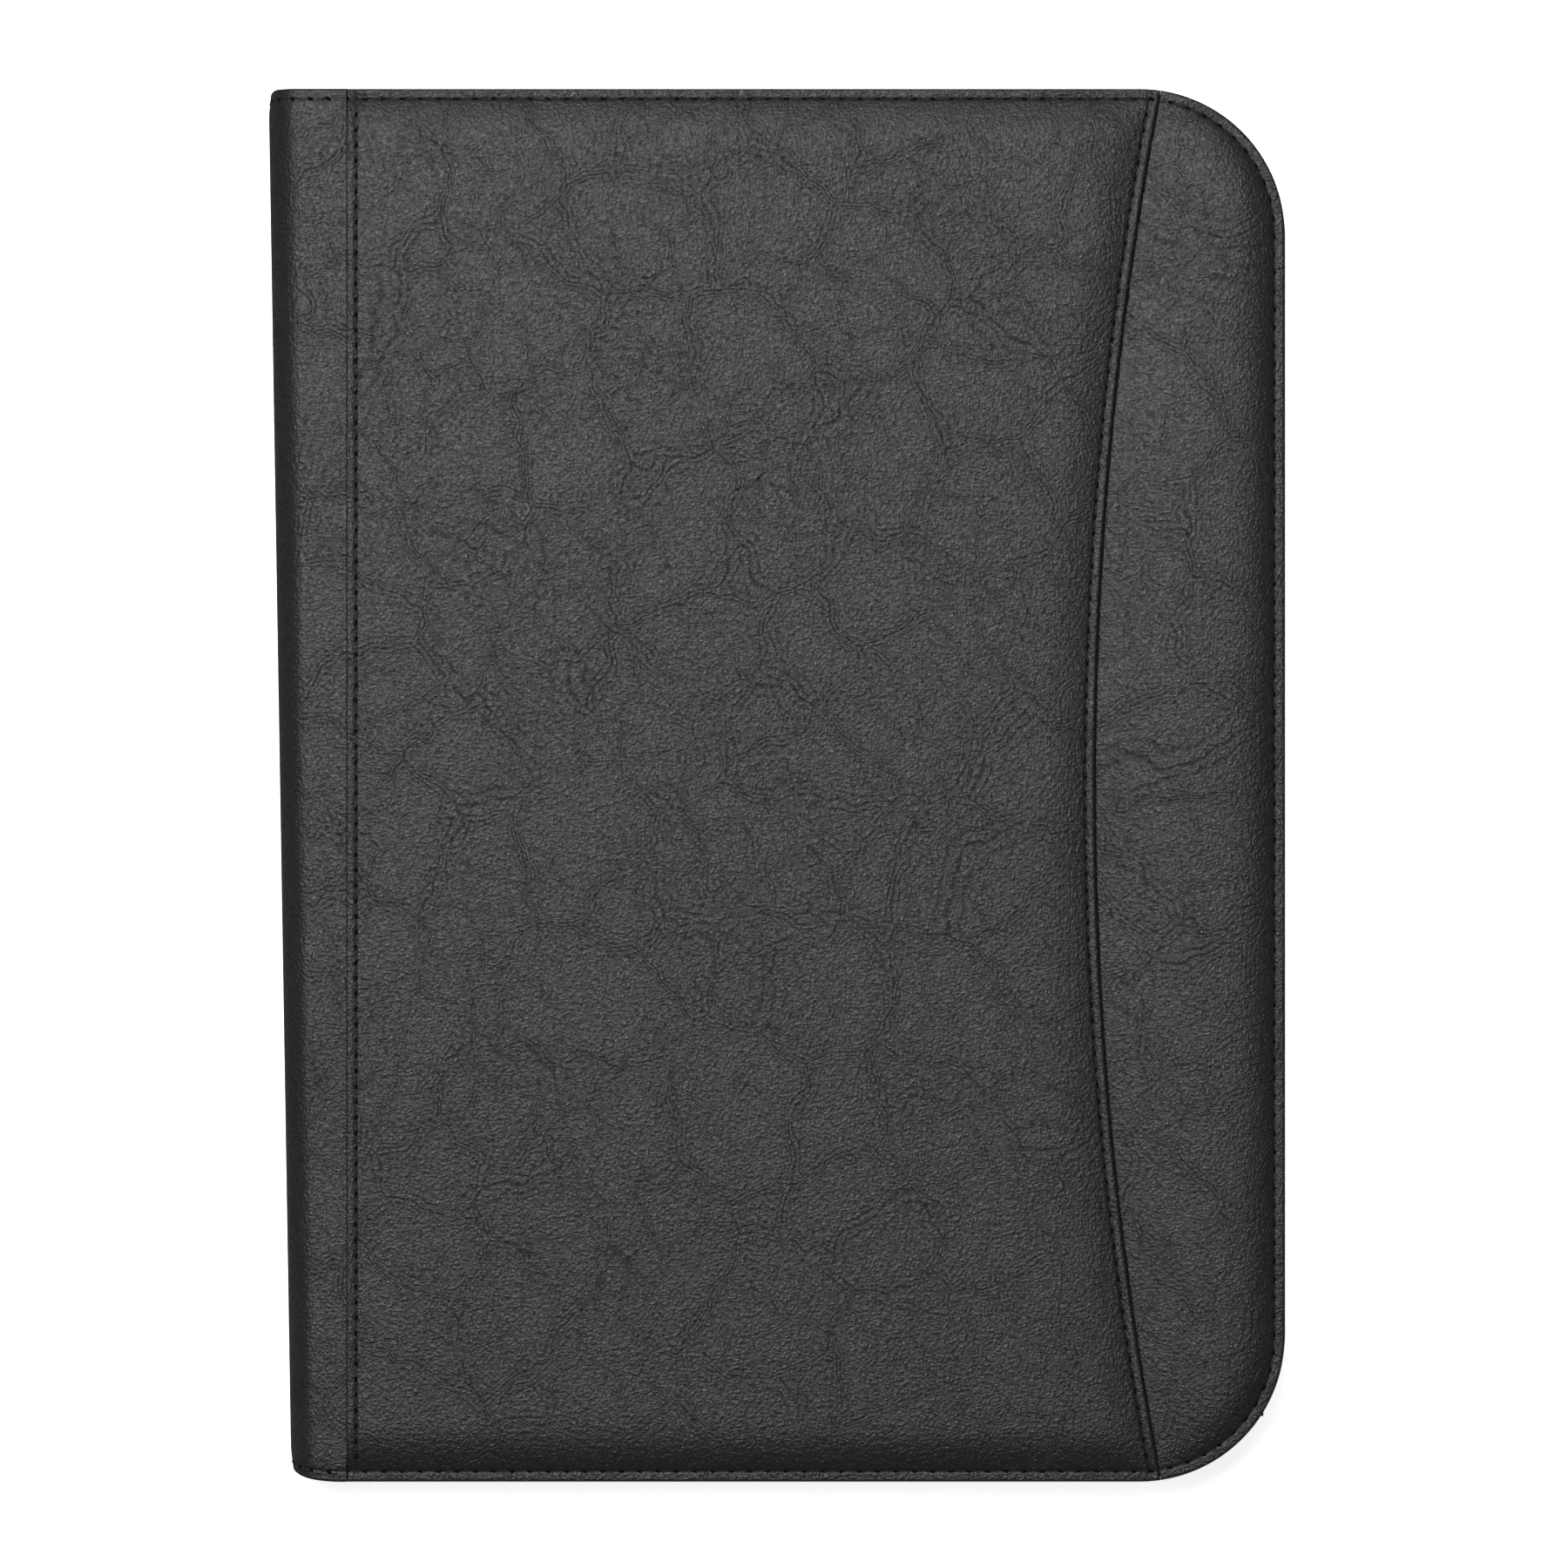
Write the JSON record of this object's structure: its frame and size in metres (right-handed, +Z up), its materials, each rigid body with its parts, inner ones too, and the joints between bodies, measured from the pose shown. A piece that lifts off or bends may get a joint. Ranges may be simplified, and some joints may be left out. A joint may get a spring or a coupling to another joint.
{
  "type": "document portfolio",
  "caption": "Padded leather-look portfolio that opens flat at a soft rounded spine; it holds a writing pad, a gusseted document pocket, card pockets and a pen loop.",
  "frame": {"origin": "centre of the closed portfolio's footprint, on the surface that its back cover lies on", "axes": "+Z up out of the front cover, +Y from foot to head, +X from the spine to the fore edge"},
  "size_m": [0.2456, 0.335, 0.026],
  "materials": {
    "grained_leather": "black grained leather-look cover material, semi-matte",
    "padding_foam": "thin grey open-cell padding",
    "cover_board": "grey-brown bookbinder's board",
    "lining_cloth": "black woven lining, fine plain weave",
    "elastic_band": "black ribbed elastic",
    "pad_card": "brown backing card",
    "paper": "off-white ruled writing paper",
    "binding_tape": "dark cloth binding tape"
  },
  "bodies": {
    "back_cover": {"back_panel": "grained_leather", "back_foam": "padding_foam", "back_board": "cover_board", "back_lining": "lining_cloth", "back_hinge_panel": "grained_leather", "back_hinge_padding": "padding_foam", "back_hinge_lining": "lining_cloth", "notepad_sleeve": "lining_cloth", "pen_loop": "elastic_band"},
    "spine": {"spine_panel": "grained_leather", "spine_padding": "padding_foam", "spine_stiffener": "cover_board", "spine_lining": "lining_cloth"},
    "front_cover": {"front_main_panel": "grained_leather", "front_end_panel": "grained_leather", "front_main_foam": "padding_foam", "front_end_foam": "padding_foam", "front_board": "cover_board", "front_lining": "lining_cloth", "front_hinge_panel": "grained_leather", "front_hinge_padding": "padding_foam", "front_hinge_lining": "lining_cloth", "document_pocket_panel": "lining_cloth", "pocket_gusset_spine_side": "lining_cloth", "pocket_gusset_fore_side": "lining_cloth", "pocket_gusset_foot": "lining_cloth", "card_pocket_1": "grained_leather", "card_pocket_2": "grained_leather"},
    "notepad": {"notepad_card": "pad_card", "notepad_paper": "paper", "notepad_binding": "binding_tape"}
  },
  "joints": [
    {"name": "spine_hinge", "type": "hinge", "parent": "back_cover", "child": "spine", "pos_m": [-0.1198, 0, 0.0034], "axis": [0, -1, 0], "range_deg": [0, 90]},
    {"name": "front_hinge", "type": "hinge", "parent": "spine", "child": "front_cover", "pos_m": [-0.1198, 0, 0.0226], "axis": [0, -1, 0], "range_deg": [0, 90]},
    {"name": "notepad_slide", "type": "slide", "parent": "back_cover", "child": "notepad", "axis": [0, 1, 0], "range_m": [0, 0.14]}
  ],
  "couplings": [
    {"joint": "front_hinge", "follows": "spine_hinge", "ratio": 1}
  ]
}
